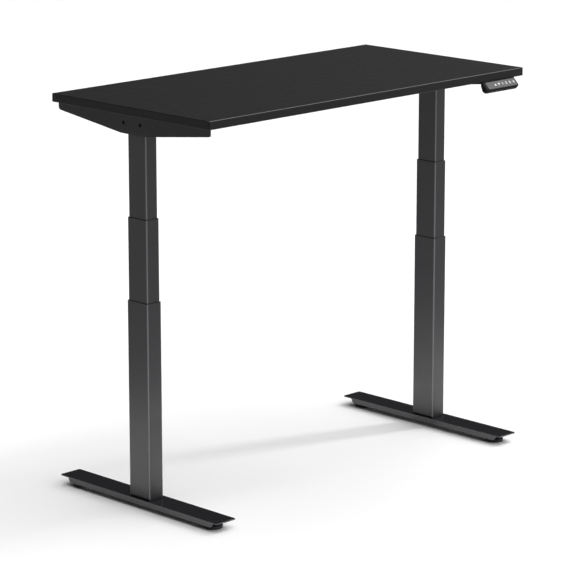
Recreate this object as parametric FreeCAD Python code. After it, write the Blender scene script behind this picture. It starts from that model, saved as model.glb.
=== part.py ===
"""Height adjustable standing desk: two feet, two three-stage telescopic columns, each raised by its own
worm gearmotor and telescopic screw, a steel frame and a laminated top with a handset under its front edge.

Millimetres. X runs along the desk's width, +Y points from the user to the back, +Z is up. The origin is on
the floor, at the centre of the whole desk's footprint. The desk is drawn part of the way up its travel.

Each column is drawn once, about its own axis at x = 0 with +X pointing inboard, and then placed: as it is
on the left, mirrored on the right.
"""

import FreeCAD
import Part

import math
import os

Vector = FreeCAD.Vector

# ---------------------------------------------------------------- driving dimensions
TOP_WIDTH, TOP_DEPTH, TOP_THICKNESS = 1220.0, 610.0, 23.0
TOP_CORNER, TOP_EDGE = 3.0, 1.6
RUNNING = 0.06              # radial clearance of shafts in their bearings and nuts

FOOT_TOP = 28.0
FOOT_LENGTH, FOOT_WIDTH, FOOT_CORNER = 624.0, 70.0, 5.0
FOOT_SHEET, FOOT_DEPTH = 3.0, 15.5
FLANGE_END_ROUND = 12.4
FLANGE_SHORT_FRONT, FLANGE_SHORT_BACK = 17.0, 34.0    # how far the flanges stop short of the foot's ends
FOOT_BOLT_X, FOOT_BOLT_Y = 13.0, 27.0     # from the column's axis
FOOT_BOLT_RADIUS = 4.0
LEVELLER_INSET, LEVELLER_RADIUS = 50.0, 25.0
LEVELLER_STUD = 4.0
WELD_NUT_RADIUS, WELD_NUT_HEIGHT = 9.0, 11.0

COLUMN_X = 564.0            # column axis, from the desk's middle
COLUMN_Y = -2.0             # column axis, from the top's middle
OUTER = (50.0, 80.0)        # tube outlines, width along X and depth along Y
MIDDLE = (45.0, 75.0)
INNER = (40.0, 70.0)
TUBE_WALL, TUBE_CORNER, TUBE_LIP = 1.5, 4.0, 0.7
OUTER_SHOWN = 541.0         # outer tube above the foot
MIDDLE_CLOSED, INNER_CLOSED = 10.0, 8.0   # what each stage shows with the desk right down
STAGE_RISE, STAGE_TRAVEL = 215.0, 325.0   # how far each stage is out here, and at most
BASE_BLOCK_HEIGHT = 10.0

BRACKET_DEPTH, BRACKET_END = 54.0, 22.0   # side bracket below the top, at its middle and ends
BRACKET_LENGTH, BRACKET_FLAT = 588.0, 92.0
BRACKET_FACE = 590.5        # its outer face, from the desk's middle
BRACKET_SHEET = 2.5
BRACKET_CORNER = 9.0
FRAME_Y = 7.0               # middle of the side brackets and rails, from the top's middle
BRACKET_BOLT_SPACING, BRACKET_BOLT_DROP = 64.0, 25.0
BRACKET_BOLT_Y = 9.0        # middle of its two bolts, from the top's middle
BRACKET_SINK = 6.3          # outer radius of the countersinks for them
SMALL_BOLT = 3.0            # radius of the bracket's and rails' bolts

HANDSET_X, HANDSET_WIDTH = 501.0, 136.0
FACE_X = 504.0              # the face plate's middle
FACE_SIZE, FACE_SLANT = (124.0, 25.0), 45.0
FACE_PROUD, KEY_PROUD = 1.5, 0.25         # how far the face plate and the keys stand out
FACE_CORNER, FACE_SUNK = 6.0, 1.5         # the plate's corners, and how deep it sits in the housing
HANDSET_REACH = 21.0        # how far the handset stands out in front of the top
HANDSET_NECK = 3.0          # thickness of the plate that holds it under the top
FACE_AHEAD, FACE_BELOW = 10.3, 10.7       # the face's middle, from the top's lower front edge
LAST_KEY = 51.0             # middle of the last key, from the face plate's middle
LEAD_RADIUS = 3.0           # hole for the handset's lead
KEY_PITCH, KEY_SIZE, KEY_COUNT = 15.4, 12.6, 6
KEY_CORNER, KEY_GAP = 2.0, 0.25

# ---------------------------------------------------------------- derived positions
HALF_FRONT = TOP_DEPTH / 2 + HANDSET_REACH
HALF_BACK = FOOT_LENGTH / 2
TOP_Y = (HALF_FRONT - HALF_BACK) / 2      # the top's middle, so that the origin is the footprint's centre
COLUMN_AXIS_Y = TOP_Y + COLUMN_Y
FRAME_AXIS_Y = TOP_Y + FRAME_Y
BRACKET_AXIS_Y = FRAME_AXIS_Y - 1.0
FOOT_SHIFT = TOP_Y - COLUMN_AXIS_Y        # the foot is centred under the top, not on its column
FRONT_EDGE = TOP_Y - TOP_DEPTH / 2

OUTER_TOP = FOOT_TOP + OUTER_SHOWN
MIDDLE_TOP = OUTER_TOP + MIDDLE_CLOSED + STAGE_RISE
BRACKET_BOTTOM = MIDDLE_TOP + INNER_CLOSED + STAGE_RISE
UNDERSIDE = BRACKET_BOTTOM + BRACKET_DEPTH
TOP_SURFACE = UNDERSIDE + TOP_THICKNESS

HEAD_BOTTOM = BRACKET_BOTTOM + 2.0
HEAD_PLATE, HEAD_SHEET = 4.0, 3.0
HEAD_HALF = 48.0            # half the head's width across Y
HEAD_TOP = UNDERSIDE - 5.0
RAIL = (20.0, 38.0, 1.5)    # width, height, wall
RAIL_TOP = UNDERSIDE - BRACKET_SHEET

HEAD_ARM = 138.0            # how far the head's arms reach inboard of the column
RAIL_BOLT_X = (62.0, 118.0)
RAIL_BOLT_Z = RAIL_TOP - RAIL[1] / 2
BRACKET_BOLT_Z = UNDERSIDE - BRACKET_BOLT_DROP
BRACKET_FLANGE, BRACKET_LIP = 36.0, 12.0  # how far they reach inboard of the bracket's plate
SIDE_SCREW_X = -BRACKET_FACE + BRACKET_SHEET + 22.0
SIDE_SCREW_Y = (-255.0, -130.0, 130.0, 255.0)
WOOD_SCREW_RADIUS = 2.2
WOOD_SCREW_GRIP = 14.0      # how deep the screws reach into the top

MOUTH_GUIDE, FOOT_GUIDE, GUIDE_RECESS = 60.0, 40.0, 0.8
BASE_BLOCK_TOP = FOOT_TOP + BASE_BLOCK_HEIGHT
OUTER_BOTTOM = FOOT_TOP + 3.0
STAGE_GAP = 12.0            # left under each stage with the desk right down
STAGE_PLATE = 5.0           # plate that closes the middle stage's bottom
MIDDLE_BOTTOM = BASE_BLOCK_TOP + STAGE_GAP + STAGE_RISE
INNER_BOTTOM = MIDDLE_BOTTOM + STAGE_PLATE + STAGE_GAP + STAGE_RISE

DRIVE_RADIUS = 6.0          # drive screw, from the worm wheel down
HOLLOW_RADIUS, HOLLOW_BORE = 9.0, 6.6     # hollow screw around it
NUT_POST = (13.0, 10.0)     # outside and bore radius
CARRIER_POST = (17.0, 14.5)
LOWER_NUT_TOP = OUTER_TOP - 28.0
NUT_LENGTH = 30.0
CARRIER_TOP = LOWER_NUT_TOP + 4.0 + STAGE_RISE    # underside of the block on the carrier post
CARRIER_BLOCK, COLLAR_SEAT = 14.0, 7.0    # the block's height, and where the collar sits in it
COLLAR_RADIUS = 13.0        # collar on top of the hollow screw
SCREW_SPARE = 6.0           # screw left below its nut at full height

MODULE, WHEEL_TEETH, WORM_RADIUS = 1.5, 20, 6.0
GEAR_THICKNESS = 1.9        # tooth and thread thickness on the pitch line, which leaves some backlash
PRESSURE = math.radians(20)
WHEEL_RADIUS = MODULE * WHEEL_TEETH / 2
WORM_PITCH = math.pi * MODULE
WORM_Y = WHEEL_RADIUS + WORM_RADIUS
GEAR_Z = HEAD_BOTTOM + 27.0
WHEEL_WIDTH = 8.0
GEARBOX_X = (-19.8, 29.5)
GEARBOX_Y = (-19.5, 32.0)
GEARBOX_TOP, GEARBOX_CORNER = HEAD_BOTTOM + 41.0, 5.0
GEAR_COVER = 4.0
WORM_TURNS = 5
WORM_SHAFT = 3.6
WORM_TAIL = 17.0            # how far the shaft reaches outboard of the wheel's middle
WORM_TURN = -90.0           # brings the thread's middle round to -Y, towards the wheel
BEARING = (12.0, DRIVE_RADIUS + RUNNING, GEAR_Z - 15.0)   # outside and bore radius, and its lower face
WHEEL_GAP = 9.0             # from the wheel's middle down to the floor of its cavity
MOTOR_RADIUS, MOTOR_LENGTH = 22.0, 92.0
MOTOR_FLANGE = 6.0

CONTROL_BOX = (262.0, 88.0, 40.0)
CONTROL_WALL = 2.5
SOCKET_SIZE, SOCKET_DEPTH = 14.0, 14.0
INLET_SIZE, INLET_DEPTH = (28.0, 20.0), 22.0
SOCKET_Y = (-26.0, 0.0, 26.0)
SOCKET_Z = UNDERSIDE - CONTROL_BOX[2] / 2 - 1.0

# ---------------------------------------------------------------- clearances
PAST = 1.0                  # how far a cutting shape runs past the face that it opens
SNUG = 0.02                 # radial clearance of a push fit
TINY = 1e-6                 # lengths below this count as nothing


# ---------------------------------------------------------------- shape helpers
def box(x, y, z):
    """A block between pairs of limits."""
    size = [abs(b - a) for a, b in (x, y, z)]
    return Part.makeBox(*size, Vector(min(x), min(y), min(z)))


def rod(radius, z, at=(0.0, 0.0)):
    """An upright cylinder between two heights."""
    return Part.makeCylinder(radius, z[1] - z[0], Vector(at[0], at[1], z[0]))


def rod_along_x(radius, x, y, z):
    return Part.makeCylinder(radius, x[1] - x[0], Vector(x[0], y, z), Vector(1, 0, 0))


def rod_along_y(radius, y, x, z):
    return Part.makeCylinder(radius, y[1] - y[0], Vector(x, y[0], z), Vector(0, 1, 0))


def block_at(middle, size):
    """A block of that size around its middle."""
    return box(*[(at - full / 2, at + full / 2) for at, full in zip(middle, size)])


def rounded_outline(width, depth, corner, z):
    """A rectangle with round corners, centred on the Z axis, as a wire."""
    x, y, reach = width / 2, depth / 2, corner * math.sqrt(0.5)
    edges = []
    for sx, sy in ((1, 1), (-1, 1), (-1, -1), (1, -1)):
        centre = Vector(sx * (x - corner), sy * (y - corner), z)
        on_side = Vector(sx * x, sy * (y - corner), z)
        on_end = Vector(sx * (x - corner), sy * y, z)
        middle = centre + Vector(sx * reach, sy * reach, 0)
        start, end = (on_side, on_end) if sx * sy > 0 else (on_end, on_side)
        edges.append((start, middle, end))
    wire = []
    for index, (start, middle, end) in enumerate(edges):
        wire.append(Part.Arc(start, middle, end).toShape())
        wire.append(Part.LineSegment(end, edges[(index + 1) % 4][0]).toShape())
    return Part.Wire(wire)


def prism(width, depth, corner, z):
    """A solid bar of that rounded outline between two heights."""
    return Part.Face(rounded_outline(width, depth, corner, z[0])).extrude(Vector(0, 0, z[1] - z[0]))


def column_tube(outline, z):
    """A rectangular tube between two heights, with its upper outside edge broken."""
    outside = prism(outline[0], outline[1], TUBE_CORNER, z)
    outside = round_edges(outside, TUBE_LIP, lambda e: is_level(e, z[1]))
    hollow = prism(outline[0] - 2 * TUBE_WALL, outline[1] - 2 * TUBE_WALL, TUBE_CORNER - TUBE_WALL, z)
    return outside.cut(hollow)


def profile_along_x(points, x):
    """A solid of that Y-Z outline between two X limits."""
    outline = Part.makePolygon([Vector(x[0], y, z) for y, z in points + points[:1]])
    return Part.Face(outline).extrude(Vector(x[1] - x[0], 0, 0))


def round_edges(shape, radius, chosen):
    """Fillets the edges for which chosen(edge) is true."""
    return shape.makeFillet(radius, [edge for edge in shape.Edges if chosen(edge)])


def round_upright_edges(shape, radius):
    return round_edges(shape, radius, lambda e: e.BoundBox.ZLength > 1.0)


def is_level(edge, height):
    return abs(edge.BoundBox.ZMin - height) < TINY and abs(edge.BoundBox.ZMax - height) < TINY


def moved(shape, x=0.0, y=0.0, z=0.0):
    copy = shape.copy()
    copy.translate(Vector(x, y, z))
    return copy


def on_left(shape):
    """From the column's own frame to the left column."""
    return moved(shape, -COLUMN_X, COLUMN_AXIS_Y)


def on_right(shape):
    """From the column's own frame to the right column, as a mirror image."""
    return moved(shape.mirror(Vector(0, 0, 0), Vector(1, 0, 0)), COLUMN_X, COLUMN_AXIS_Y)


def mirrored(shape):
    """The left side's piece, on the right side."""
    return shape.mirror(Vector(0, 0, 0), Vector(1, 0, 0))


def group(shapes):
    return Part.makeCompound(shapes)


# ---------------------------------------------------------------- feet
def foot():
    """Folded steel foot: a long flat top, a turned-down flange on each side and a weld nut at each end."""
    half = FOOT_LENGTH / 2
    sheet_low = FOOT_TOP - FOOT_SHEET
    body = prism(FOOT_WIDTH, FOOT_LENGTH, FOOT_CORNER, (sheet_low, FOOT_TOP))
    front = -half + FLANGE_SHORT_FRONT
    back = half - FLANGE_SHORT_BACK
    low = FOOT_TOP - FOOT_DEPTH
    for side in (-1, 1):
        outer = side * FOOT_WIDTH / 2
        flange = box((outer, outer - side * FOOT_SHEET), (front, back), (low, sheet_low))
        flange = round_edges(flange, FLANGE_END_ROUND, lambda e: is_low_cross_edge(e, low))
        body = body.fuse(flange)
    nut_low = sheet_low - WELD_NUT_HEIGHT
    for end in (-1, 1):
        at = (0.0, end * (half - LEVELLER_INSET))
        body = body.fuse(rod(WELD_NUT_RADIUS, (nut_low, sheet_low), at))
        body = body.cut(rod(LEVELLER_STUD + 0.1, (nut_low - PAST, sheet_low), at))
    body = body.removeSplitter()
    body = round_edges(body, 0.8, lambda e: is_level(e, FOOT_TOP))
    for x, y in foot_bolt_places():
        body = body.cut(rod(FOOT_BOLT_RADIUS + 0.4, (0.0, FOOT_TOP + PAST), (x, y - FOOT_SHIFT)))
    return moved(body, 0.0, FOOT_SHIFT)


def is_low_cross_edge(edge, low):
    """The lower edge, across the sheet, at either end of a flange."""
    limits = edge.BoundBox
    return limits.ZMax - low < TINY and limits.YLength < TINY and limits.XLength > TINY


def foot_bolt_places():
    return [(x, y) for x in (-FOOT_BOLT_X, FOOT_BOLT_X) for y in (-FOOT_BOLT_Y, FOOT_BOLT_Y)]


def foot_bolts():
    """Four hex bolts up through the foot into the base block."""
    head_radius, head_height = 7.5, 5.3
    seat = FOOT_TOP - FOOT_SHEET
    head = regular_prism(6, head_radius, (seat - head_height, seat))
    bolt = head.fuse(rod(FOOT_BOLT_RADIUS, (seat, BASE_BLOCK_TOP - 2.0)))
    return group([moved(bolt, x, y) for x, y in foot_bolt_places()])


def regular_prism(sides, radius, z):
    """An upright bar with a regular polygon for its section."""
    turn = 2 * math.pi / sides
    points = []
    for corner in range(sides + 1):
        points.append(Vector(radius * math.cos(corner * turn), radius * math.sin(corner * turn), z[0]))
    return Part.Face(Part.makePolygon(points)).extrude(Vector(0, 0, z[1] - z[0]))


def leveller(end):
    """Screw-in levelling foot: a broad pad with a domed shoulder and a threaded stud."""
    pad_top, stud_top = 12.6, FOOT_TOP - 3.6
    outline = [(0.0, 0.0), (LEVELLER_RADIUS - 1.5, 0.0), (LEVELLER_RADIUS, 1.5), (LEVELLER_RADIUS, 8.0),
               (LEVELLER_RADIUS - 2.5, 10.0), (11.0, 11.5), (8.0, pad_top), (LEVELLER_STUD, pad_top),
               (LEVELLER_STUD, stud_top - 0.9), (LEVELLER_STUD - 0.8, stud_top), (0.0, stud_top)]
    wire = Part.makePolygon([Vector(r, 0, z) for r, z in outline + outline[:1]])
    pad = Part.Face(wire).revolve(Vector(0, 0, 0), Vector(0, 0, 1), 360)
    return moved(pad, 0.0, end * (FOOT_LENGTH / 2 - LEVELLER_INSET) + FOOT_SHIFT)


# ---------------------------------------------------------------- columns: tubes and guides
def base_block():
    """Threaded steel block welded into the foot of the outer tube."""
    width, depth = [size - 2 * TUBE_WALL - 1.0 for size in OUTER]
    block = prism(width, depth, 2.0, (FOOT_TOP, BASE_BLOCK_TOP))
    for at in foot_bolt_places():
        block = block.cut(rod(FOOT_BOLT_RADIUS + 0.1, (FOOT_TOP - PAST, BASE_BLOCK_TOP + PAST), at))
    return block


def outer_tube():
    return column_tube(OUTER, (OUTER_BOTTOM, OUTER_TOP))


def middle_tube():
    return column_tube(MIDDLE, (MIDDLE_BOTTOM, MIDDLE_TOP))


def inner_tube():
    return column_tube(INNER, (INNER_BOTTOM, HEAD_BOTTOM))


def guide(fixed_to, slides_on, z):
    """Plastic sleeve in the gap between two tubes, with a hair of clearance to both.

    It rides with one of them and the other slides on it.
    """
    clip, slide = 0.05, 0.12
    outside = [size - 2 * TUBE_WALL - 2 * clip for size in fixed_to]
    inside = [size + 2 * slide for size in slides_on]
    sleeve = prism(outside[0], outside[1], TUBE_CORNER - TUBE_WALL, z)
    return sleeve.cut(prism(inside[0], inside[1], TUBE_CORNER, z))


def outer_mouth_guide():
    return guide(OUTER, MIDDLE, (OUTER_TOP - MOUTH_GUIDE, OUTER_TOP - GUIDE_RECESS))


def middle_guides():
    """Sleeves at the middle tube's foot, outside it, and in its mouth, around the inner tube."""
    foot_end = guide(OUTER, MIDDLE, (MIDDLE_BOTTOM, MIDDLE_BOTTOM + FOOT_GUIDE))
    mouth = guide(MIDDLE, INNER, (MIDDLE_TOP - MOUTH_GUIDE, MIDDLE_TOP - GUIDE_RECESS))
    return group([foot_end, mouth])


def inner_foot_guide():
    return guide(MIDDLE, INNER, (INNER_BOTTOM, INNER_BOTTOM + FOOT_GUIDE))


# ---------------------------------------------------------------- columns: screws, nuts and gears
def nut_post():
    """Fixed post on the base block that holds the lower nut up inside the column."""
    flange_radius, flange_height = 18.0, 5.0
    low, high = BASE_BLOCK_TOP, LOWER_NUT_TOP - NUT_LENGTH
    body = rod(flange_radius, (low, low + flange_height)).fuse(rod(NUT_POST[0], (low, high)))
    return body.cut(rod(NUT_POST[1], (low - PAST, high + PAST)))


def lower_nut():
    """Plastic nut for the hollow screw, with a spigot down into its post."""
    low, spigot_length = LOWER_NUT_TOP - NUT_LENGTH, 6.0
    nut = rod(NUT_POST[0], (low, LOWER_NUT_TOP))
    spigot = rod(NUT_POST[1] - RUNNING, (low - spigot_length, low))
    bore = rod(HOLLOW_RADIUS + RUNNING, (low - spigot_length - PAST, LOWER_NUT_TOP + PAST))
    return nut.fuse(spigot).cut(bore)


def carrier_post():
    """Middle stage's post: a plate across the tube's foot, a pipe round the nut post, a bearing block."""
    width, depth = [size - 2 * TUBE_WALL - 0.2 for size in MIDDLE]
    plate_z = (MIDDLE_BOTTOM, MIDDLE_BOTTOM + STAGE_PLATE)
    block_top = CARRIER_TOP + CARRIER_BLOCK
    plate = prism(width, depth, TUBE_CORNER - TUBE_WALL, plate_z)
    post = rod(CARRIER_POST[0], (MIDDLE_BOTTOM, CARRIER_TOP))
    bore = rod(CARRIER_POST[1], (MIDDLE_BOTTOM - PAST, CARRIER_TOP))
    block = rod(CARRIER_POST[0], (CARRIER_TOP, block_top))
    body = plate.fuse(post).cut(bore).fuse(block)
    body = body.cut(rod(HOLLOW_RADIUS + RUNNING, (CARRIER_TOP - PAST, block_top + PAST)))
    collar_seat = rod(COLLAR_RADIUS + RUNNING, (CARRIER_TOP + COLLAR_SEAT, block_top + PAST))
    return body.cut(collar_seat).removeSplitter()


def upper_nut():
    """Nut for the drive screw, screwed down on the carrier's block."""
    flange_height, height, radius = 6.0, 14.0, 12.0
    low = CARRIER_TOP + CARRIER_BLOCK
    flange = rod(CARRIER_POST[0], (low, low + flange_height))
    nut = flange.fuse(rod(radius, (low + flange_height, low + height)))
    return nut.cut(rod(DRIVE_RADIUS + RUNNING, (low - PAST, low + height + PAST)))


def hollow_screw():
    """Lower screw: it turns in the carrier's block on its collar, and its stem runs in the lower nut."""
    low = LOWER_NUT_TOP - NUT_LENGTH - SCREW_SPARE - (STAGE_TRAVEL - STAGE_RISE)
    collar_low, collar_high = CARRIER_TOP + COLLAR_SEAT + 0.1, CARRIER_TOP + CARRIER_BLOCK - 0.1
    stem = rod(HOLLOW_RADIUS, (low, collar_low))
    collar = rod(COLLAR_RADIUS, (collar_low, collar_high))
    return stem.fuse(collar).cut(rod(HOLLOW_BORE, (low - PAST, collar_high + PAST)))


def drive_screw():
    """Upper screw: it hangs from the gearbox, runs through the upper nut and turns the hollow screw."""
    low = CARRIER_TOP + CARRIER_BLOCK - SCREW_SPARE - (STAGE_TRAVEL - STAGE_RISE)
    screw = rod(DRIVE_RADIUS, (low, GEAR_Z + 11.0))
    collar = rod(9.0, (GEAR_Z - 8.5, GEAR_Z - WHEEL_WIDTH / 2 - 0.2))
    return screw.fuse(collar)


def worm_wheel():
    """Bronze wheel with slanted teeth that match the worm's thread."""
    slant = WORM_PITCH / (2 * math.pi * WORM_RADIUS)
    twist = WHEEL_WIDTH * slant / WHEEL_RADIUS
    sections = [wheel_outline(GEAR_Z + side * WHEEL_WIDTH / 2, side * twist / 2) for side in (-1, 1)]
    wheel = Part.makeLoft(sections, True, True)
    hub = rod(9.5, (GEAR_Z - WHEEL_WIDTH / 2, GEAR_Z + WHEEL_WIDTH / 2 + 2.0))
    return wheel.fuse(hub).cut(rod(DRIVE_RADIUS + SNUG, (GEAR_Z - WHEEL_GAP, GEAR_Z + WHEEL_GAP)))


def wheel_outline(z, turned):
    """The wheel's toothed outline. A gap faces +Y when turned is zero."""
    step = 2 * math.pi / WHEEL_TEETH
    tip, root = WHEEL_RADIUS + MODULE * 0.95, WHEEL_RADIUS - MODULE * 1.25
    points = []
    for tooth in range(WHEEL_TEETH):
        middle = math.pi / 2 + (tooth + 0.5) * step + turned
        for radius, side in ((root, -1), (tip, -1), (tip, 1), (root, 1)):
            thickness = GEAR_THICKNESS - 2 * (radius - WHEEL_RADIUS) * math.tan(PRESSURE)
            angle = middle + side * thickness / 2 / radius
            points.append(Vector(radius * math.cos(angle), radius * math.sin(angle), z))
    return Part.makePolygon(points + points[:1])


def worm():
    """Steel worm with a single right-hand thread, on the motor's shaft.

    Its thread faces a gap between two of the wheel's teeth.
    """
    tip, root = WORM_RADIUS + MODULE * 0.95, WORM_RADIUS - MODULE * 1.2
    length = WORM_TURNS * WORM_PITCH
    bury, core_extra = 0.3, 2.5
    helix = Part.makeHelix(WORM_PITCH, length, WORM_RADIUS)
    flare = math.tan(PRESSURE)
    wide = GEAR_THICKNESS / 2 + (WORM_RADIUS - root + bury) * flare
    narrow = GEAR_THICKNESS / 2 - (tip - WORM_RADIUS) * flare
    corners = [Vector(root - bury, 0, -wide), Vector(tip, 0, -narrow), Vector(tip, 0, narrow),
               Vector(root - bury, 0, wide)]
    section = Part.makePolygon(corners + corners[:1])
    thread = Part.Wire(helix).makePipeShell([section], True, True)
    # the helix starts on +X, and this brings its middle back to +X
    thread.translate(Vector(0, 0, -length / 2))
    thread.rotate(Vector(0, 0, 0), Vector(0, 0, 1), 180.0 * WORM_TURNS)
    core = rod(root, (-length / 2 - core_extra, length / 2 + core_extra))
    shaft = rod(WORM_SHAFT, (-WORM_TAIL, GEARBOX_X[1] - 0.2))
    body = core.fuse(shaft).fuse(thread)
    body.rotate(Vector(0, 0, 0), Vector(0, 1, 0), 90.0)    # the axis, from +Z to +X
    body.rotate(Vector(0, 0, 0), Vector(1, 0, 0), WORM_TURN)
    return moved(body, 0.0, WORM_Y, GEAR_Z)


def gear_housing():
    """Cast box around the worm and wheel, open at the top."""
    body = box(GEARBOX_X, GEARBOX_Y, (HEAD_BOTTOM + HEAD_PLATE, GEARBOX_TOP))
    body = round_upright_edges(body, GEARBOX_CORNER)
    floor = GEAR_Z - WHEEL_GAP
    worm_room, worm_reach = 8.6, 15.5
    cavity = rod(WHEEL_RADIUS + 2.4, (floor, GEARBOX_TOP + PAST))
    worm_cavity = box((-worm_reach, worm_reach), (WORM_Y - worm_room, WORM_Y + worm_room),
                      (GEAR_Z - worm_room, GEARBOX_TOP + PAST))
    body = body.cut(cavity.fuse(worm_cavity))
    body = body.cut(rod(DRIVE_RADIUS + RUNNING, (HEAD_BOTTOM, GEAR_Z)))
    body = body.cut(rod(BEARING[0] + SNUG, (BEARING[2], floor)))
    shaft_x = (-WORM_TAIL - 0.2, GEARBOX_X[1] + PAST)
    return body.cut(rod_along_x(WORM_SHAFT + RUNNING, shaft_x, WORM_Y, GEAR_Z))


def thrust_bearing():
    z = (BEARING[2] + SNUG, GEAR_Z - WHEEL_GAP - 0.1)
    return rod(BEARING[0], z).cut(rod(BEARING[1], (z[0] - PAST, z[1] + PAST)))


def gear_cover():
    """Plate that closes the gear housing, with a blind recess for the drive screw's end."""
    recess_top = GEARBOX_TOP + GEAR_COVER - 1.5
    cover = box(GEARBOX_X, GEARBOX_Y, (GEARBOX_TOP, GEARBOX_TOP + GEAR_COVER))
    cover = round_upright_edges(cover, GEARBOX_CORNER)
    return cover.cut(rod(DRIVE_RADIUS + RUNNING, (GEARBOX_TOP - PAST, recess_top)))


def motor():
    """Motor can, flanged to the gearbox, with a stepped end cap and a lead socket."""
    start, end = GEARBOX_X[1], GEARBOX_X[1] + MOTOR_LENGTH
    flange_end = start + MOTOR_FLANGE
    cap_radius, cap_length = 14.0, 7.0
    socket_x, socket_front = (end - 26.0, end - 6.0), WORM_Y - 30.0
    can = rod_along_x(MOTOR_RADIUS, (flange_end, end), WORM_Y, GEAR_Z)
    flange = box((start, flange_end), (WORM_Y - 21.0, WORM_Y + 10.0), (GEAR_Z - 20.0, GEARBOX_TOP - 1.0))
    cap = rod_along_x(cap_radius, (end, end + cap_length), WORM_Y, GEAR_Z)
    socket = box(socket_x, (socket_front, WORM_Y), (GEAR_Z - 7.0, GEAR_Z + 7.0))
    mouth = box((socket_x[0] + 3.0, socket_x[1] - 3.0), (socket_front - PAST, socket_front + 6.0),
                (GEAR_Z - 4.5, GEAR_Z + 4.5))
    body = can.fuse(flange).fuse(cap).fuse(socket).cut(mouth)
    shaft_recess = rod_along_x(WORM_SHAFT + 0.6, (start - PAST, start + 1.0), WORM_Y, GEAR_Z)
    return body.cut(shaft_recess).removeSplitter()


# ---------------------------------------------------------------- frame under the top
def column_head():
    """Bent steel cradle on the inner tube: floor, outer wall, and two arms that the rails bolt to."""
    floor_opening_x, floor_rim = 45.0, 12.0
    middle_y = FRAME_Y - COLUMN_Y
    outer_x = -(BRACKET_FACE - BRACKET_SHEET - COLUMN_X)
    wall_z = (HEAD_BOTTOM, HEAD_TOP)
    y = (middle_y - HEAD_HALF, middle_y + HEAD_HALF)
    body = box((outer_x, HEAD_ARM), y, (HEAD_BOTTOM, HEAD_BOTTOM + HEAD_PLATE))
    body = body.fuse(box((outer_x, outer_x + HEAD_SHEET), y, wall_z))
    for side in (-1, 1):
        outer_y = middle_y + side * HEAD_HALF
        body = body.fuse(box((outer_x, HEAD_ARM), (outer_y - side * HEAD_SHEET, outer_y), wall_z))
    body = body.removeSplitter()
    body = round_edges(body, 2.0, lambda e: is_outer_bend(e, y))
    body = body.cut(rod(DRIVE_RADIUS + 2.0, (HEAD_BOTTOM - PAST, HEAD_BOTTOM + HEAD_PLATE + PAST)))
    body = body.cut(box((floor_opening_x, HEAD_ARM + PAST), (y[0] + floor_rim, y[1] - floor_rim),
                        (HEAD_BOTTOM - PAST, GEAR_Z)))
    wall_x = (outer_x - PAST, outer_x + HEAD_SHEET + PAST)
    for bolt_y in bracket_bolt_y():
        body = body.cut(rod_along_x(SMALL_BOLT + 0.1, wall_x, bolt_y, BRACKET_BOLT_Z))
    for x in RAIL_BOLT_X:
        body = body.cut(rod_along_y(SMALL_BOLT + 0.1, (y[0] - PAST, y[1] + PAST), x, RAIL_BOLT_Z))
    return body


def is_outer_bend(edge, y):
    """The cradle's lower outside edges along both arms, where the sheet is bent."""
    limits = edge.BoundBox
    low = limits.ZMax - HEAD_BOTTOM < TINY and limits.XLength > HEAD_SHEET
    return low and (abs(limits.YMin - y[0]) < TINY or abs(limits.YMax - y[1]) < TINY)


def bracket_bolt_y():
    """Places along Y of the side bracket's two bolts, in the column's frame."""
    middle = BRACKET_BOLT_Y - COLUMN_Y
    return [middle - BRACKET_BOLT_SPACING / 2, middle + BRACKET_BOLT_SPACING / 2]


def bracket_outline(inset):
    """Side bracket's outline in Y and Z, drawn in by inset: deep in the middle, tapering to both ends."""
    half, flat = BRACKET_LENGTH / 2 - inset, BRACKET_FLAT / 2
    rise = (BRACKET_DEPTH - BRACKET_END) / (BRACKET_LENGTH / 2 - flat)
    low, end = BRACKET_BOTTOM + inset, BRACKET_BOTTOM + inset + rise * (half - flat)
    high = UNDERSIDE - inset
    points = [(-half, high), (-half, end), (-flat, low), (flat, low), (half, end), (half, high)]
    return [(BRACKET_AXIS_Y + y, z) for y, z in points]


def side_bracket():
    """Left side bracket: a pressed plate, a wide flange under the top and a stiffening lip on its slopes."""
    outside = -BRACKET_FACE
    inner_face = outside + BRACKET_SHEET
    flange_x, lip_x = inner_face + BRACKET_FLANGE, inner_face + BRACKET_LIP
    blank = profile_along_x(bracket_outline(0.0), (outside, flange_x))
    blank = round_edges(blank, BRACKET_CORNER, is_bracket_end_corner)
    past_x = flange_x + PAST
    body = blank.cut(profile_along_x(bracket_outline(BRACKET_SHEET), (inner_face, past_x)))
    below_flange = (0.0, UNDERSIDE - BRACKET_SHEET)
    body = body.cut(box((lip_x, past_x), (BRACKET_AXIS_Y - BRACKET_LENGTH, BRACKET_AXIS_Y + BRACKET_LENGTH),
                        below_flange))
    # the lip leaves room for the cradle in the middle, and stops short of both ends
    cradle_room, end_room = BRACKET_FLAT / 2 + 26.0, 12.0
    body = body.cut(box((inner_face, past_x), (FRAME_AXIS_Y - cradle_room, FRAME_AXIS_Y + cradle_room),
                        below_flange))
    for end in (-1, 1):
        y_end = BRACKET_AXIS_Y + end * BRACKET_LENGTH / 2
        body = body.cut(box((inner_face, past_x), (y_end - end_room, y_end + end_room), below_flange))
    for y in SIDE_SCREW_Y:
        at = (SIDE_SCREW_X, FRAME_AXIS_Y + y)
        body = body.cut(rod(WOOD_SCREW_RADIUS + 0.6, (below_flange[1] - PAST, UNDERSIDE + PAST), at))
    for bolt_y in bracket_bolt_y():
        start = Vector(outside, COLUMN_AXIS_Y + bolt_y, BRACKET_BOLT_Z)
        sink = Part.makeCone(BRACKET_SINK, SMALL_BOLT + 0.2, BRACKET_SHEET, start, Vector(1, 0, 0))
        body = body.cut(sink)
    return body.removeSplitter()


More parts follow.
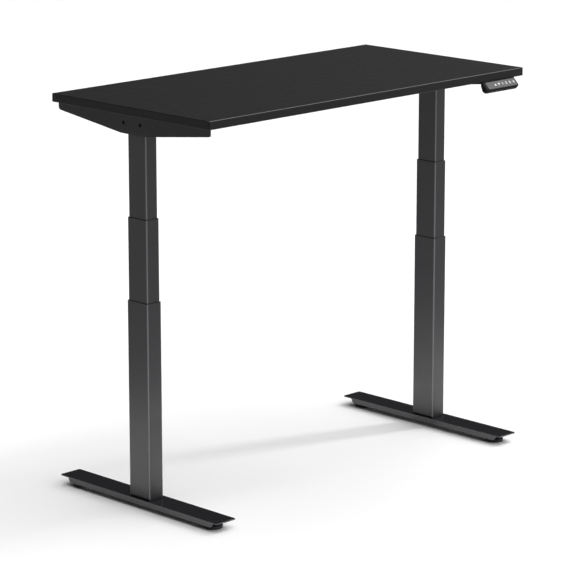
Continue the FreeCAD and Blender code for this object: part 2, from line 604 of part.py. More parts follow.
def is_bracket_end_corner(edge):
    """The lower edge across the sheet at either end of a side bracket's blank."""
    limits = edge.BoundBox
    across = limits.XLength > BRACKET_SHEET and limits.ZLength < TINY
    return across and limits.ZMax < UNDERSIDE - TINY and abs(limits.YMax - BRACKET_AXIS_Y) > BRACKET_FLAT


def bracket_bolts():
    """Countersunk socket screws from the left side bracket into the cradle."""
    sunk, socket_radius, socket_depth = 0.3, 3.2, 2.6
    bolts = []
    for bolt_y in bracket_bolt_y():
        start = Vector(-BRACKET_FACE + sunk, COLUMN_AXIS_Y + bolt_y, BRACKET_BOLT_Z)
        head = Part.makeCone(BRACKET_SINK - 0.5, SMALL_BOLT, BRACKET_SHEET - sunk, start, Vector(1, 0, 0))
        shank = Part.makeCylinder(SMALL_BOLT, BRACKET_SHEET + HEAD_SHEET + 0.4, start, Vector(1, 0, 0))
        socket = regular_prism(6, socket_radius, (-PAST, socket_depth))
        socket.rotate(Vector(0, 0, 0), Vector(0, 1, 0), 90.0)
        bolts.append(head.fuse(shank).cut(moved(socket, start.x, start.y, start.z)))
    return bolts


def rail(side):
    """One of the two long rails between the columns, a square tube open at its ends."""
    width, height, wall = RAIL
    inner = FRAME_AXIS_Y + side * HEAD_HALF
    outer = inner + side * width
    half = BRACKET_FACE - BRACKET_SHEET - 1.0
    z = (RAIL_TOP - height, RAIL_TOP)
    body = box((-half, half), (inner, outer), z)
    body = round_edges(body, 2.0, lambda e: e.BoundBox.XLength > half)
    body = body.cut(box((-half - PAST, half + PAST), (inner + side * wall, outer - side * wall),
                        (z[0] + wall, z[1] - wall)))
    hole_y = sorted((inner - side * PAST, inner + side * (wall + PAST)))
    for x in RAIL_BOLT_X:
        for end in (-1, 1):
            body = body.cut(rod_along_y(SMALL_BOLT + 0.1, hole_y, end * (COLUMN_X - x), RAIL_BOLT_Z))
    return body


def rail_bolts():
    """Button-head bolts from inside each cradle into the rails, all eight."""
    head_radius, head_height, reach = 5.2, 3.0, HEAD_SHEET + 9.0
    upright = rod(head_radius, (0.0, head_height)).fuse(rod(SMALL_BOLT, (-reach, 0.0)))
    upright = round_edges(upright, 1.4, lambda e: is_level(e, head_height))
    upright = upright.cut(regular_prism(6, 2.2, (1.6, head_height + PAST)))
    bolts = []
    for side in (-1, 1):
        bolt = upright.copy()
        bolt.rotate(Vector(0, 0, 0), Vector(1, 0, 0), 90.0 * side)
        wall_face = FRAME_AXIS_Y + side * (HEAD_HALF - HEAD_SHEET)
        for x in RAIL_BOLT_X:
            for end in (-1, 1):
                bolts.append(moved(bolt, end * (COLUMN_X - x), wall_face, RAIL_BOLT_Z))
    return group(bolts)


# ---------------------------------------------------------------- top, control box
def desktop_panel():
    z = (UNDERSIDE, TOP_SURFACE)
    panel = moved(prism(TOP_WIDTH, TOP_DEPTH, TOP_CORNER, z), 0.0, TOP_Y)
    return round_edges(panel, TOP_EDGE, lambda e: e.BoundBox.ZLength < TINY)


def wood_screw(x, y, sheet):
    """Pan-head screw up into the top, through a sheet of that thickness."""
    head_radius, head_height, point_length = 4.6, 2.6, 4.0
    seat = UNDERSIDE - sheet
    head_low = seat - head_height
    shank_top = UNDERSIDE + WOOD_SCREW_GRIP - point_length
    head = round_edges(rod(head_radius, (head_low, seat)), 1.4, lambda e: is_level(e, head_low))
    point = Part.makeCone(WOOD_SCREW_RADIUS, 0.4, point_length, Vector(0, 0, shank_top))
    screw = head.fuse(rod(WOOD_SCREW_RADIUS, (seat, shank_top))).fuse(point)
    screw = screw.cut(regular_prism(6, 1.9, (head_low - PAST, head_low + 1.0)))
    return moved(screw, x, y)


def bracket_screws():
    left = [wood_screw(SIDE_SCREW_X, FRAME_AXIS_Y + y, BRACKET_SHEET) for y in SIDE_SCREW_Y]
    return left + [mirrored(screw) for screw in left]


def control_box_case():
    """Control box's tray, open upwards, with its sockets' cut-outs in the two end walls."""
    length, width, height = CONTROL_BOX
    wall, corner, fit = CONTROL_WALL, 4.0, 0.2
    vent_count, vent_pitch, vent_width = 9, 15.0, 3.0
    x, y = (-length / 2, length / 2), (FRAME_AXIS_Y - width / 2, FRAME_AXIS_Y + width / 2)
    z = (UNDERSIDE - height, UNDERSIDE - wall)
    body = round_upright_edges(box(x, y, z), corner)
    hollow = box((x[0] + wall, x[1] - wall), (y[0] + wall, y[1] - wall), (z[0] + wall, z[1] + PAST))
    body = body.cut(round_upright_edges(hollow, corner / 2))
    for middle in SOCKET_Y:
        at = (x[0] + wall / 2, FRAME_AXIS_Y + middle, SOCKET_Z)
        body = body.cut(block_at(at, (wall + 2 * PAST, SOCKET_SIZE + fit, SOCKET_SIZE + fit)))
    at = (x[1] - wall / 2, FRAME_AXIS_Y, SOCKET_Z)
    body = body.cut(block_at(at, (wall + 2 * PAST, INLET_SIZE[0] + fit, INLET_SIZE[1] + fit)))
    for vent in range(vent_count):
        middle = vent_pitch * (vent - (vent_count - 1) / 2)
        # one cutter goes through both long walls
        body = body.cut(box((middle - vent_width / 2, middle + vent_width / 2), (y[0] - PAST, y[1] + PAST),
                            (z[0] + 10.0, z[1] - 8.0)))
    return body


def control_box_cover():
    """Plate that closes the control box against the top, with two screw ears at each end."""
    length, width, _ = CONTROL_BOX
    x, y = (-length / 2, length / 2), (FRAME_AXIS_Y - width / 2, FRAME_AXIS_Y + width / 2)
    z = (UNDERSIDE - CONTROL_WALL, UNDERSIDE)
    cover = round_upright_edges(box(x, y, z), 4.0)
    for at_x, at_y in control_screw_places():
        ear = block_at((at_x, at_y, sum(z) / 2), (16.0, 14.0, CONTROL_WALL))
        cover = cover.fuse(round_upright_edges(ear, 3.0))
    cover = cover.removeSplitter()
    for at in control_screw_places():
        cover = cover.cut(rod(WOOD_SCREW_RADIUS + 0.4, (z[0] - PAST, z[1] + PAST), at))
    return cover


def control_screw_places():
    """Middles of the cover's four ears."""
    reach_x, reach_y = CONTROL_BOX[0] / 2 + 6.0, CONTROL_BOX[1] / 2 - 12.0
    return [(x, FRAME_AXIS_Y + y) for x in (-reach_x, reach_x) for y in (-reach_y, reach_y)]


def control_screws():
    return [wood_screw(x, y, CONTROL_WALL) for x, y in control_screw_places()]


def circuit_board():
    """Control board with its transformer, its relays and a row of capacitors."""
    length, width, height = CONTROL_BOX
    low = UNDERSIDE - height + CONTROL_WALL + 4.0
    board_top = low + 1.6
    y = (FRAME_AXIS_Y - width / 2 + 5.0, FRAME_AXIS_Y + width / 2 - 5.0)
    board = box((-length / 2 + SOCKET_DEPTH + 2.0, length / 2 - INLET_DEPTH - 4.0), y, (low, board_top))
    transformer = box((30.0, 78.0), (FRAME_AXIS_Y - 22.0, FRAME_AXIS_Y + 22.0), (board_top, low + 25.0))
    board = board.fuse(transformer)
    relay_y = (FRAME_AXIS_Y - 32.0, FRAME_AXIS_Y - 20.0)
    for relay in range(4):
        start = -96.0 + 22.0 * relay
        board = board.fuse(box((start, start + 16.0), relay_y, (board_top, low + 15.0)))
    for capacitor in range(3):
        at = (-80.0 + 24.0 * capacitor, FRAME_AXIS_Y + 16.0)
        board = board.fuse(rod(7.0, (board_top, low + 24.0), at))
    return board


def control_sockets():
    """Three lead sockets at one end of the control box and the mains inlet with its blades at the other."""
    mouth_width, mouth_height, mouth_depth = 11.0, 9.0, 11.0
    end = -CONTROL_BOX[0] / 2
    parts = []
    for middle in SOCKET_Y:
        y = FRAME_AXIS_Y + middle
        shell = block_at((end + SOCKET_DEPTH / 2, y, SOCKET_Z), (SOCKET_DEPTH, SOCKET_SIZE, SOCKET_SIZE))
        mouth = block_at((end + mouth_depth / 2, y, SOCKET_Z), (mouth_depth, mouth_width, mouth_height))
        parts.append(shell.cut(mouth))
    parts.append(mains_inlet(-end))
    return group(parts)


def mains_inlet(end):
    """Inlet for a mains lead: a mouth with two round corners and three blades inside it."""
    width, height = INLET_SIZE
    mouth_depth, rim = 17.0, 2.5
    blade_spacing, blade_drop, blade_size = 7.0, 2.0, (15.0, 2.0, 4.0)
    body = block_at((end - INLET_DEPTH / 2, FRAME_AXIS_Y, SOCKET_Z), (INLET_DEPTH, width, height))
    mouth = block_at((end - mouth_depth / 2, FRAME_AXIS_Y, SOCKET_Z),
                     (mouth_depth, width - 2 * rim, height - 2 * rim))
    mouth = round_edges(mouth, 3.5, lambda e: e.BoundBox.XLength > TINY and e.BoundBox.ZMin > SOCKET_Z
                        and e.BoundBox.YLength < TINY)
    body = body.cut(mouth)
    for place in (-1, 0, 1):
        drop = blade_drop if place else -blade_drop
        at = (end - 10.5, FRAME_AXIS_Y + place * blade_spacing, SOCKET_Z - drop)
        body = body.fuse(block_at(at, blade_size))
    return body


# ---------------------------------------------------------------- handset
def on_face(shape):
    """From the handset face's own frame to its place: x along the face, y up its slope, z out of it."""
    placed = shape.copy()
    placed.rotate(Vector(0, 0, 0), Vector(1, 0, 0), FACE_SLANT)
    placed.translate(Vector(FACE_X, FRONT_EDGE - FACE_AHEAD, UNDERSIDE - FACE_BELOW))
    return placed


def handset_housing():
    """Pod with a face that slopes up towards the user, and a plate behind it that screws to the top."""
    width, depth = FACE_SIZE
    x = (HANDSET_X - HANDSET_WIDTH / 2, HANDSET_X + HANDSET_WIDTH / 2)
    # how far ahead of the front edge, and how far under the top
    section = [(0.0, 0.0), (20.2, 20.2), (HANDSET_REACH, 22.0), (20.8, 24.2), (17.0, 28.6), (14.0, 30.0),
               (11.0, 30.0), (3.0, 24.0), (-3.5, 9.0), (-8.0, 0.0)]
    pod = profile_along_x([(FRONT_EDGE - ahead, UNDERSIDE - under) for ahead, under in section], x)
    envelope = moved(prism(HANDSET_WIDTH, depth + 8.5, 9.0, (-60.0, 30.0)), HANDSET_X - FACE_X)
    pod = pod.common(on_face(envelope))
    neck_back = FRONT_EDGE + 46.0
    neck = box((HANDSET_X - 56.0, HANDSET_X + 46.0), (FRONT_EDGE + 1.0, neck_back),
               (UNDERSIDE - HANDSET_NECK, UNDERSIDE))
    neck = round_edges(neck, 6.0, lambda e: e.BoundBox.ZLength > TINY
                       and e.BoundBox.YMin > neck_back - TINY)
    pocket = prism(width + 0.3, depth + 0.3, FACE_CORNER + 0.15, (-FACE_SUNK - 0.1, 10.0))
    works = prism(width - 8.0, depth - 9.0, 3.0, (-5.0, 0.0))
    body = pod.fuse(neck).cut(on_face(pocket)).cut(on_face(works))
    for at in handset_screw_places():
        hole = rod(WOOD_SCREW_RADIUS + 0.4, (UNDERSIDE - HANDSET_NECK - PAST, UNDERSIDE + PAST), at)
        body = body.cut(hole)
    lead_hole = rod_along_y(LEAD_RADIUS, (FRONT_EDGE - 6.0, FRONT_EDGE + 6.0), HANDSET_X, UNDERSIDE - 12.0)
    return body.cut(lead_hole)


def handset_screw_places():
    return [(HANDSET_X + x, FRONT_EDGE + 30.0) for x in (-40.0, 32.0)]


def handset_screws():
    return [wood_screw(x, y, HANDSET_NECK) for x, y in handset_screw_places()]


def key_x(index):
    """Middle of a key along the face, counted from the user's left."""
    return LAST_KEY - KEY_PITCH * (KEY_COUNT - 1 - index)


def handset_face():
    """Face plate with a window for each key."""
    plate = prism(*FACE_SIZE, FACE_CORNER, (-FACE_SUNK, FACE_PROUD))
    bevel_edges = [edge for edge in plate.Edges if is_level(edge, FACE_PROUD)]
    plate = plate.makeChamfer(FACE_PROUD - 0.2, bevel_edges)
    size = KEY_SIZE + 2 * KEY_GAP
    window = prism(size, size, KEY_CORNER + KEY_GAP, (-FACE_SUNK - PAST, FACE_PROUD + PAST))
    for index in range(KEY_COUNT):
        plate = plate.cut(moved(window, key_x(index)))
    return on_face(plate)


def handset_key(index):
    """Push key with a softened edge, standing just proud of the face."""
    top = FACE_PROUD + KEY_PROUD
    key = prism(KEY_SIZE, KEY_SIZE, KEY_CORNER, (-3.2, top))
    key = round_edges(key, 0.3, lambda e: is_level(e, top))
    return on_face(moved(key, key_x(index)))


# ---------------------------------------------------------------- assembly
def pieces():
    """Every node's name and its shape, in place."""
    made = {}
    per_column = {"foot": foot, "outer_tube": outer_tube, "middle_tube": middle_tube,
                  "inner_tube": inner_tube, "carrier_post": carrier_post, "upper_nut": upper_nut,
                  "hollow_screw": hollow_screw, "drive_screw": drive_screw, "worm_wheel": worm_wheel,
                  "worm": worm, "motor": motor, "gear_housing": gear_housing, "column_head": column_head,
                  "middle_guides": middle_guides}
    for name, make in per_column.items():
        shape = make()
        made[name + "_left"] = on_left(shape)
        made[name + "_right"] = on_right(shape)
    in_pairs = {"base_blocks": base_block, "nut_posts": nut_post, "lower_nuts": lower_nut,
                "outer_guides": outer_mouth_guide, "inner_guides": inner_foot_guide,
                "thrust_bearings": thrust_bearing, "gear_covers": gear_cover, "foot_bolts": foot_bolts}
    for name, make in in_pairs.items():
        shape = make()
        made[name] = group(on_left(shape).Solids + on_right(shape).Solids)
    for end, where in ((-1, "front"), (1, "back")):
        shape = leveller(end)
        made[f"leveller_{where}_left"] = on_left(shape)
        made[f"leveller_{where}_right"] = on_right(shape)
    made["desktop_panel"] = desktop_panel()
    bracket = side_bracket()
    made["side_bracket_left"] = bracket
    made["side_bracket_right"] = mirrored(bracket)
    made["rail_front"], made["rail_back"] = rail(-1), rail(1)
    bolts = bracket_bolts()
    made["bracket_bolts"] = group(bolts + [mirrored(bolt) for bolt in bolts])
    made["rail_bolts"] = rail_bolts()
    made["wood_screws"] = group(bracket_screws() + control_screws() + handset_screws())
    made["control_box_case"] = control_box_case()
    made["control_box_cover"] = control_box_cover()
    made["control_sockets"] = control_sockets()
    made["circuit_board"] = circuit_board()
    made["handset_housing"] = handset_housing()
    made["handset_face"] = handset_face()
    for index, name in enumerate(("up", "down", "one", "two", "three", "four")):
        made["key_" + name] = handset_key(index)
    return made


def main():
    os.makedirs("parts", exist_ok=True)
    made = pieces()
    for name, shape in made.items():
        if not shape.isValid() or min(solid.Volume for solid in shape.Solids) <= 0:
            raise ValueError(f"{name} is not a sound solid")
        shape.exportStep(os.path.join("parts", name + ".step"))
    print(len(made), "nodes; top surface at", TOP_SURFACE, "mm; column axes at y", COLUMN_AXIS_Y)
    print("lift range, mm:", -2 * STAGE_RISE, "to", 2 * (STAGE_TRAVEL - STAGE_RISE))


main()
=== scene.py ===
"""Looks of the height adjustable standing desk: materials, key marks, floor, lights and camera."""
import math

import bmesh
import bpy
from mathutils import Matrix, Vector


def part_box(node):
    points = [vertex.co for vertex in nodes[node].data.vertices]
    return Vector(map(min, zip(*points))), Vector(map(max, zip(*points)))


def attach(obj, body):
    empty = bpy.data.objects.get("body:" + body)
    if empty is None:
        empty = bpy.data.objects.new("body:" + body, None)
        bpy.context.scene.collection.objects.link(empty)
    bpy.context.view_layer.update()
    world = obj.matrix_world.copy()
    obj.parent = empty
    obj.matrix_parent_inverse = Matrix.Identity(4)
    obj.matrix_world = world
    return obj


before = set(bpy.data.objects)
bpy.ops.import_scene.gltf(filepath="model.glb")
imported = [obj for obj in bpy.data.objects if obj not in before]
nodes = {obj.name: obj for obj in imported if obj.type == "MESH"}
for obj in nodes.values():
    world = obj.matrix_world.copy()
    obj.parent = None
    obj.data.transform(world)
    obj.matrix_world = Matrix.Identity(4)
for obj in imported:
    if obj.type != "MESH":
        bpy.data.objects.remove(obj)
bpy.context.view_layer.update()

SIDES = ("left", "right")
KEY_NAMES = ("up", "down", "one", "two", "three", "four")

# ---------------------------------------------------------------- places taken from the frame
TOP_LOW, TOP_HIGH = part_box("desktop_panel")
TOP_MIDDLE = (TOP_LOW + TOP_HIGH) / 2
FOOT_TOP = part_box("foot_left")[1].z

# ---------------------------------------------------------------- handset marks, in metres
FACE_SLOPE = math.radians(45)
MARK_RELIEF = 0.00012           # how far a mark stands out of its key
ARROW_HEIGHT = 0.0078
DIGIT_SIZE = ARROW_HEIGHT * 1.35
DIGIT_BOLD = 0.00022            # how far a numeral's outline is pushed outwards

# ---------------------------------------------------------------- floor and lights, in metres and watts
FLOOR_SIZE = 60.0
WORLD_STRENGTH = 0.05
OVERHEAD_STRENGTH = 3.95
OVERHEAD_SPREAD = math.radians(120)
OVERHEAD_TILT = (math.radians(20), math.radians(26), 0.0)
STRIP_PLACE, STRIP_SIZE, STRIP_POWER = (4.6, -1.4, 5.4), (0.5, 3.0), 120.0
PANEL_EAST, PANEL_NORTH, PANEL_LIFT = 0.46, 0.40, 0.004     # a floor panel's middle, from its column's axis
PANEL_SIZE, PANEL_POWER = (0.68, 0.68), 3.0

# ---------------------------------------------------------------- camera, in metres and degrees
CAMERA_FROM_TOP_MIDDLE = (-5.4698, -5.4260)     # east and north of the top's middle
CAMERA_ABOVE_FOOT = 2.3344
CAMERA_YAW, CAMERA_PITCH = 45.1017, -13.5309
CAMERA_LENS, CAMERA_SENSOR = 177.81, 36.0       # millimetres
CAMERA_REACH = 200.0


def both(*names):
    """Each name, for the left and for the right side."""
    return [f"{name}_{side}" for name in names for side in SIDES]


# ---------------------------------------------------------------- material building
EDGE_START, EDGE_FULL = 0.12, 0.35      # products of two normal components that bound the fade of a highlight painted on a rounded edge


class Surface:
    """A procedural material under construction: one Principled shader and the nodes that feed it."""

    def __init__(self, name, color, roughness, metallic=0.0, specular=0.5):
        self.material = bpy.data.materials.new(name)
        self.material.use_nodes = True
        self.tree = self.material.node_tree
        self.shader = self.tree.nodes["Principled BSDF"]
        self.color = color
        self.roughness = roughness
        self.set("Metallic", metallic)
        self.set("Specular IOR Level", specular)
        self.set("Roughness", roughness)
        self.set("Base Color", (*color, 1.0))
        self.coordinates = self.add("ShaderNodeTexCoord").outputs["Object"]
        self.last_bump = None

    def set(self, socket, value):
        self.shader.inputs[socket].default_value = value

    def add(self, kind, **settings):
        node = self.tree.nodes.new(kind)
        for key, value in settings.items():
            setattr(node, key, value)
        return node

    def link(self, start, end):
        self.tree.links.new(start, end)

    def stretched(self, scale):
        """Object coordinates scaled along each axis."""
        mapping = self.add("ShaderNodeMapping")
        mapping.inputs["Scale"].default_value = scale
        self.link(self.coordinates, mapping.inputs["Vector"])
        return mapping.outputs["Vector"]

    def noise(self, scale, detail=4.0, roughness=0.55, stretch=(1, 1, 1)):
        texture = self.add("ShaderNodeTexNoise")
        texture.inputs["Scale"].default_value = scale
        texture.inputs["Detail"].default_value = detail
        texture.inputs["Roughness"].default_value = roughness
        self.link(self.stretched(stretch), texture.inputs["Vector"])
        return texture.outputs["Fac"]

    def remap(self, value, low, high, from_low=0.3, from_high=0.7):
        """A texture's value, brought to the range from low to high."""
        ramp = self.add("ShaderNodeMapRange")
        ramp.inputs["From Min"].default_value = from_low
        ramp.inputs["From Max"].default_value = from_high
        ramp.inputs["To Min"].default_value = low
        ramp.inputs["To Max"].default_value = high
        self.link(value, ramp.inputs["Value"])
        return ramp.outputs["Result"]

    def color_mix(self, factor):
        """A mix that feeds the base colour. Returns its two colour inputs and its output."""
        mix = self.add("ShaderNodeMix", data_type="RGBA")
        inputs = {socket.identifier: socket for socket in mix.inputs}
        result = next(s for s in mix.outputs if s.identifier == "Result_Color")
        self.link(factor, inputs["Factor_Float"])
        self.link(result, self.shader.inputs["Base Color"])
        return inputs["A_Color"], inputs["B_Color"], result

    def vary_color(self, value, spread):
        """Darkens and lightens the base colour by that spread, following a texture."""
        darker, lighter, result = self.color_mix(self.remap(value, 0.0, 1.0))
        for socket, amount in ((darker, 1 - spread), (lighter, 1 + spread)):
            socket.default_value = (*[channel * amount for channel in self.color], 1.0)
        return result

    def rounding(self, first, second, every_side=False):
        """1 on the rounded edge between two faces of a piece, named by axis, and 0 on the flat faces.

        On such an edge the product of the normal's two components is large. Where every_side is false, only
        the edge between the face towards minus first and the face towards plus second counts.
        """
        parts = self.add("ShaderNodeSeparateXYZ")
        self.link(self.add("ShaderNodeTexCoord").outputs["Normal"], parts.inputs["Vector"])
        product = self.add("ShaderNodeMath", operation="MULTIPLY")
        self.link(parts.outputs[first], product.inputs[0])
        self.link(parts.outputs[second], product.inputs[1])
        if not every_side:
            return self.remap(product.outputs["Value"], 1.0, 0.0, -EDGE_FULL, -EDGE_START)
        size = self.add("ShaderNodeMath", operation="ABSOLUTE")
        self.link(product.outputs["Value"], size.inputs[0])
        return self.remap(size.outputs["Value"], 0.0, 1.0, EDGE_START, EDGE_FULL)

    def paint_highlight(self, plain, mask, highlight_color):
        """Paints a highlight: replaces the plain colour by a paler one where the mask is 1."""
        below, above, _ = self.color_mix(mask)
        self.link(plain, below)
        above.default_value = (*highlight_color, 1.0)

    def vary_roughness(self, value, spread):
        scaled = self.remap(value, self.roughness - spread, self.roughness + spread)
        self.link(scaled, self.shader.inputs["Roughness"])

    def bump(self, value, distance, strength=1.0):
        """Adds relief of that distance in metres on top of what is there."""
        node = self.add("ShaderNodeBump")
        node.inputs["Strength"].default_value = strength
        node.inputs["Distance"].default_value = distance
        self.link(value, node.inputs["Height"])
        if self.last_bump is not None:
            self.link(self.last_bump, node.inputs["Normal"])
        self.last_bump = node.outputs["Normal"]
        self.link(self.last_bump, self.shader.inputs["Normal"])


def laminate():
    """Dark laminate: a fine pressed grain along the top's width, and a painted highlight: a paler colour
    along the front upper edge.
    """
    surface = Surface("laminate", (0.0074, 0.0074, 0.0075), 0.46, specular=0.10)
    fibres = surface.noise(140.0, 6.0, 0.6, (0.12, 1.0, 1.0))
    pores = surface.noise(900.0, 3.0, 0.5, (0.35, 1.0, 1.0))
    clouds = surface.noise(3.0, 3.0)
    plain = surface.vary_color(clouds, 0.05)
    # painted highlight: the front upper edge gets a paler colour in place of the light it would catch
    surface.paint_highlight(plain, surface.rounding("Y", "Z"), (0.12, 0.12, 0.12))
    surface.vary_roughness(fibres, 0.05)
    surface.bump(fibres, 0.00006)
    surface.bump(pores, 0.00005)
    return surface.material


def powder_coat(name, color, roughness, specular=0.5, grain=0.00005, corner_highlight=None):
    """Powder coat: an orange-peel relief over fine speckle, and if asked a painted highlight: a paler
    colour along upright corners.
    """
    surface = Surface(name, color, roughness, specular=specular)
    peel = surface.noise(650.0, 3.0, 0.5)
    speckle = surface.noise(2600.0, 2.0, 0.5)
    drift = surface.noise(9.0, 2.0)
    plain = surface.vary_color(speckle, 0.10)
    if corner_highlight is not None:
        # painted highlight: a paler colour along the upright rounded corners, standing in for light caught
        # there
        surface.paint_highlight(plain, surface.rounding("X", "Y", every_side=True), corner_highlight)
    surface.vary_roughness(drift, 0.03)
    surface.bump(peel, grain)
    surface.bump(speckle, grain * 0.4)
    return surface.material


def turned_steel(name, color, roughness, axis_scale=(1, 1, 1)):
    """Machined metal: fine lines left by the tool."""
    surface = Surface(name, color, roughness, metallic=1.0)
    lines = surface.noise(500.0, 4.0, 0.6, axis_scale)
    stains = surface.noise(40.0, 4.0)
    surface.vary_color(stains, 0.12)
    surface.vary_roughness(stains, 0.07)
    surface.bump(lines, 0.00004)
    return surface.material


def cast_metal():
    surface = Surface("cast_aluminium", (0.36, 0.36, 0.37), 0.5, metallic=0.9)
    grain = surface.noise(420.0, 5.0, 0.65)
    flow = surface.noise(28.0, 3.0)
    surface.vary_color(flow, 0.10)
    surface.vary_roughness(flow, 0.08)
    surface.bump(grain, 0.00018)
    return surface.material


def moulded_plastic(name, color, roughness, grain=0.00005, specular=0.5):
    """Moulded plastic with a spark-eroded texture."""
    surface = Surface(name, color, roughness, specular=specular)
    texture = surface.noise(1500.0, 2.0, 0.5)
    drift = surface.noise(14.0, 2.0)
    surface.vary_color(drift, 0.06)
    surface.vary_roughness(texture, 0.04)
    surface.bump(texture, grain)
    return surface.material


def pad_rubber():
    surface = Surface("pad_rubber", (0.016, 0.016, 0.017), 0.72)
    grain = surface.noise(800.0, 4.0, 0.6)
    dust = surface.noise(60.0, 4.0)
    surface.vary_color(dust, 0.25)
    surface.vary_roughness(dust, 0.06)
    surface.bump(grain, 0.00008)
    return surface.material


def lacquered_board():
    """Green circuit board: tracks show as a fine blocky pattern under the lacquer."""
    surface = Surface("lacquered_board", (0.010, 0.085, 0.030), 0.30)
    cells = surface.add("ShaderNodeTexVoronoi", distance="MANHATTAN")
    cells.inputs["Scale"].default_value = 260.0
    surface.link(surface.coordinates, cells.inputs["Vector"])
    surface.vary_color(cells.outputs["Distance"], 0.35)
    surface.vary_roughness(cells.outputs["Distance"], 0.05)
    surface.bump(cells.outputs["Distance"], 0.00005)
    return surface.material


def printed_mark():
    """White pad print on a key."""
    surface = Surface("printed_mark", (0.72, 0.72, 0.72), 0.45)
    ink = surface.noise(1800.0, 3.0)
    surface.vary_color(ink, 0.05)
    surface.bump(ink, 0.00002)
    return surface.material


def pale_floor():
    surface = Surface("pale_floor", (0.93, 0.93, 0.93), 0.9, specular=0.1)
    paper = surface.noise(30.0, 3.0)
    surface.vary_color(paper, 0.004)
    return surface.material


# ---------------------------------------------------------------- materials onto the CAD nodes
def give(material, names):
    for name in names:
        slots = nodes[name].data.materials
        slots.clear()
        slots.append(material)


def dress_frame():
    frame_coat = powder_coat("frame_coat", (0.0085, 0.0085, 0.0097), 0.50, 0.20)
    # the tube coat's last colour is a painted highlight along the tubes' upright corners
    tube_coat = powder_coat("tube_coat", (0.0060, 0.0060, 0.0076), 0.34, 0.28, 0.00004, (0.10, 0.10, 0.104))
    foot_coat = powder_coat("foot_coat", (0.0085, 0.0085, 0.0110), 0.09, 0.85, 0.00001)
    black_steel = moulded_plastic("black_oxide", (0.0015, 0.0015, 0.0015), 0.5, 0.00002, 0.08)
    ground_steel = turned_steel("ground_steel", (0.52, 0.52, 0.53), 0.24, (1, 1, 6))
    plated_steel = turned_steel("plated_steel", (0.46, 0.46, 0.45), 0.38)
    bronze = turned_steel("bronze", (0.50, 0.31, 0.12), 0.32)
    acetal = moulded_plastic("acetal", (0.74, 0.74, 0.70), 0.38, 0.00003)
    black_plastic = moulded_plastic("black_plastic", (0.0080, 0.0080, 0.0085), 0.50, 0.00006, 0.25)
    handset_plastic = moulded_plastic("handset_plastic", (0.0012, 0.0012, 0.0013), 0.55, 0.00004, 0.06)
    face_plastic = moulded_plastic("face_plastic", (0.026, 0.026, 0.0275), 0.42, 0.00003, 0.25)
    key_plastic = moulded_plastic("key_plastic", (0.022, 0.022, 0.024), 0.36, 0.00002, 0.25)
    give(laminate(), ["desktop_panel"])
    give(frame_coat, both("side_bracket", "column_head") + ["rail_front", "rail_back"])
    give(tube_coat, both("outer_tube", "middle_tube", "inner_tube") + ["base_blocks"])
    give(foot_coat, both("foot"))
    give(black_steel, ["bracket_bolts", "rail_bolts", "wood_screws", "foot_bolts"])
    give(ground_steel, both("hollow_screw", "drive_screw", "worm") + ["thrust_bearings"])
    give(plated_steel, both("carrier_post") + ["nut_posts"])
    give(cast_metal(), both("gear_housing"))
    give(bronze, both("worm_wheel"))
    give(acetal, both("upper_nut") + ["lower_nuts"])
    give(black_plastic, both("motor") + ["control_box_case", "control_box_cover", "control_sockets",
                                         "gear_covers", "outer_guides", "inner_guides"]
         + both("middle_guides"))
    give(handset_plastic, ["handset_housing"])
    give(face_plastic, ["handset_face"])
    give(key_plastic, ["key_" + name for name in KEY_NAMES])
    give(pad_rubber(), both("leveller_front", "leveller_back"))
    give(lacquered_board(), ["circuit_board"])


# ---------------------------------------------------------------- marks on the keys
def on_key(name):
    """Frame on a key's top: its middle, with X along the face, Y up its slope and Z out of it."""
    low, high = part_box("key_" + name)
    turn = Matrix.Rotation(FACE_SLOPE, 4, "X")
    normal = Vector((0, -math.sin(FACE_SLOPE), math.cos(FACE_SLOPE)))
    upward = Vector((0, math.cos(FACE_SLOPE), math.sin(FACE_SLOPE)))
    corner = Vector(((low.x + high.x) / 2, 0, 0))
    # the key is tilted, so its box doesn't show its top, which is found along the normal instead
    reach = max(v.co.dot(normal) for v in nodes["key_" + name].data.vertices)
    slopes = [v.co.dot(upward) for v in nodes["key_" + name].data.vertices]
    middle = corner + normal * reach + upward * ((min(slopes) + max(slopes)) / 2)
    return Matrix.Translation(middle) @ turn


def arrow(name, direction):
    """A raised triangle in the key's plane, pointing up or down the slope."""
    mesh = bpy.data.meshes.new(name)
    build = bmesh.new()
    half, rise = ARROW_HEIGHT * 0.5, ARROW_HEIGHT * 0.42
    outline = [(-half, -rise), (half, -rise), (0.0, rise)]
    build.faces.new([build.verts.new((x, y * direction, 0.0)) for x, y in outline])
    raised = bmesh.ops.extrude_face_region(build, geom=build.faces[:])
    tops = [item for item in raised["geom"] if isinstance(item, bmesh.types.BMVert)]
    bmesh.ops.translate(build, verts=tops, vec=(0, 0, MARK_RELIEF))
    bmesh.ops.recalc_face_normals(build, faces=build.faces)
    build.to_mesh(mesh)
    build.free()
    piece = bpy.data.objects.new(name, mesh)
    bpy.context.scene.collection.objects.link(piece)
    return piece


def digit(text):
    """The mesh of a raised numeral, centred."""
    curve = bpy.data.curves.new("digit", "FONT")
    curve.body = text
    curve.size = DIGIT_SIZE
    curve.align_x, curve.align_y = "CENTER", "CENTER"
    curve.extrude = MARK_RELIEF / 2
    curve.offset = DIGIT_BOLD
    curve.resolution_u = 6
    piece = bpy.data.objects.new("digit", curve)
    bpy.context.scene.collection.objects.link(piece)
    bpy.context.view_layer.update()
    mesh = bpy.data.meshes.new_from_object(piece)
    bpy.data.objects.remove(piece)
    build = bmesh.new()
    build.from_mesh(mesh)
    bmesh.ops.remove_doubles(build, verts=build.verts, dist=1e-6)
    bmesh.ops.recalc_face_normals(build, faces=build.faces)
    build.to_mesh(mesh)
    build.free()
    return mesh


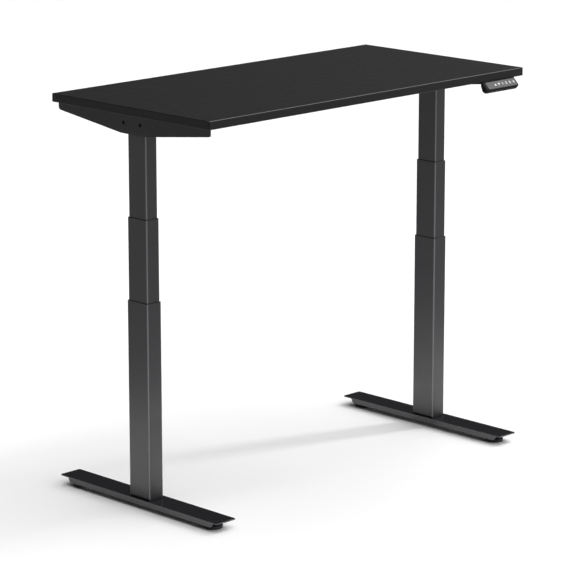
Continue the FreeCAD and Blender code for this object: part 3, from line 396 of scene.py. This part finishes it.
def key_marks():
    ink = printed_mark()
    for name, direction in (("up", 1), ("down", -1)):
        mark = arrow("mark_" + name, direction)
        finish_mark(mark, name, ink, 0.0)
    for name, text in zip(KEY_NAMES[2:], "1234"):
        mark = bpy.data.objects.new("mark_" + name, digit(text))
        bpy.context.scene.collection.objects.link(mark)
        finish_mark(mark, name, ink, MARK_RELIEF / 2)


def finish_mark(mark, name, ink, lift):
    """Sets a mark on its key, in ink."""
    mark.data.transform(on_key(name) @ Matrix.Translation((0, 0, lift)))
    mark.data.materials.clear()
    mark.data.materials.append(ink)
    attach(mark, name + "_key")


# ---------------------------------------------------------------- floor, lights and camera
def floor():
    mesh = bpy.data.meshes.new("floor")
    half = FLOOR_SIZE / 2
    corners = [(-half, -half, 0), (half, -half, 0), (half, half, 0), (-half, half, 0)]
    mesh.from_pydata(corners, [], [(0, 1, 2, 3)])
    mesh.materials.append(pale_floor())
    plane = bpy.data.objects.new("floor", mesh)
    bpy.context.scene.collection.objects.link(plane)


def area_light(name, place, aim, size, power):
    """A soft panel that lights the object but isn't itself in the picture."""
    light = bpy.data.lights.new(name, "AREA")
    light.shape = "RECTANGLE"
    light.size, light.size_y = size
    light.energy = power
    lamp = bpy.data.objects.new(name, light)
    lamp.location = place
    lamp.rotation_euler = (Vector(aim) - Vector(place)).to_track_quat("-Z", "Y").to_euler()
    lamp.visible_camera = False
    bpy.context.scene.collection.objects.link(lamp)


def lighting():
    """A wide overhead light, a strip for the edges, and floor panels for the columns' lower ends."""
    world = bpy.data.worlds.new("studio")
    world.use_nodes = True
    background = world.node_tree.nodes["Background"]
    background.inputs["Color"].default_value = (1.0, 1.0, 1.0, 1.0)
    background.inputs["Strength"].default_value = WORLD_STRENGTH
    bpy.context.scene.world = world
    overhead = bpy.data.lights.new("overhead", "SUN")
    overhead.energy = OVERHEAD_STRENGTH
    overhead.angle = OVERHEAD_SPREAD
    lamp = bpy.data.objects.new("overhead", overhead)
    lamp.rotation_euler = OVERHEAD_TILT
    bpy.context.scene.collection.objects.link(lamp)
    area_light("edge_strip", STRIP_PLACE, TOP_MIDDLE, STRIP_SIZE, STRIP_POWER)
    for side in SIDES:
        low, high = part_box("outer_tube_" + side)
        axis = (low + high) / 2
        for east, north in ((-1, -1), (1, -1), (-1, 1), (1, 1)):
            place = (axis.x + east * PANEL_EAST, axis.y + north * PANEL_NORTH, PANEL_LIFT)
            straight_up = (place[0], place[1], 1.0)
            area_light(f"floor_panel_{side}_{east}_{north}", place, straight_up, PANEL_SIZE, PANEL_POWER)


def camera():
    data = bpy.data.cameras.new("camera")
    data.lens = CAMERA_LENS
    data.sensor_width = CAMERA_SENSOR
    data.clip_end = CAMERA_REACH
    view = bpy.data.objects.new("camera", data)
    view.location = (TOP_MIDDLE.x + CAMERA_FROM_TOP_MIDDLE[0], TOP_MIDDLE.y + CAMERA_FROM_TOP_MIDDLE[1],
                     FOOT_TOP + CAMERA_ABOVE_FOOT)
    view.rotation_euler = (math.radians(90 + CAMERA_PITCH), 0.0, -math.radians(CAMERA_YAW))
    bpy.context.scene.collection.objects.link(view)
    bpy.context.scene.camera = view


dress_frame()
key_marks()
floor()
lighting()
camera()
bpy.context.scene.view_settings.view_transform = "Standard"
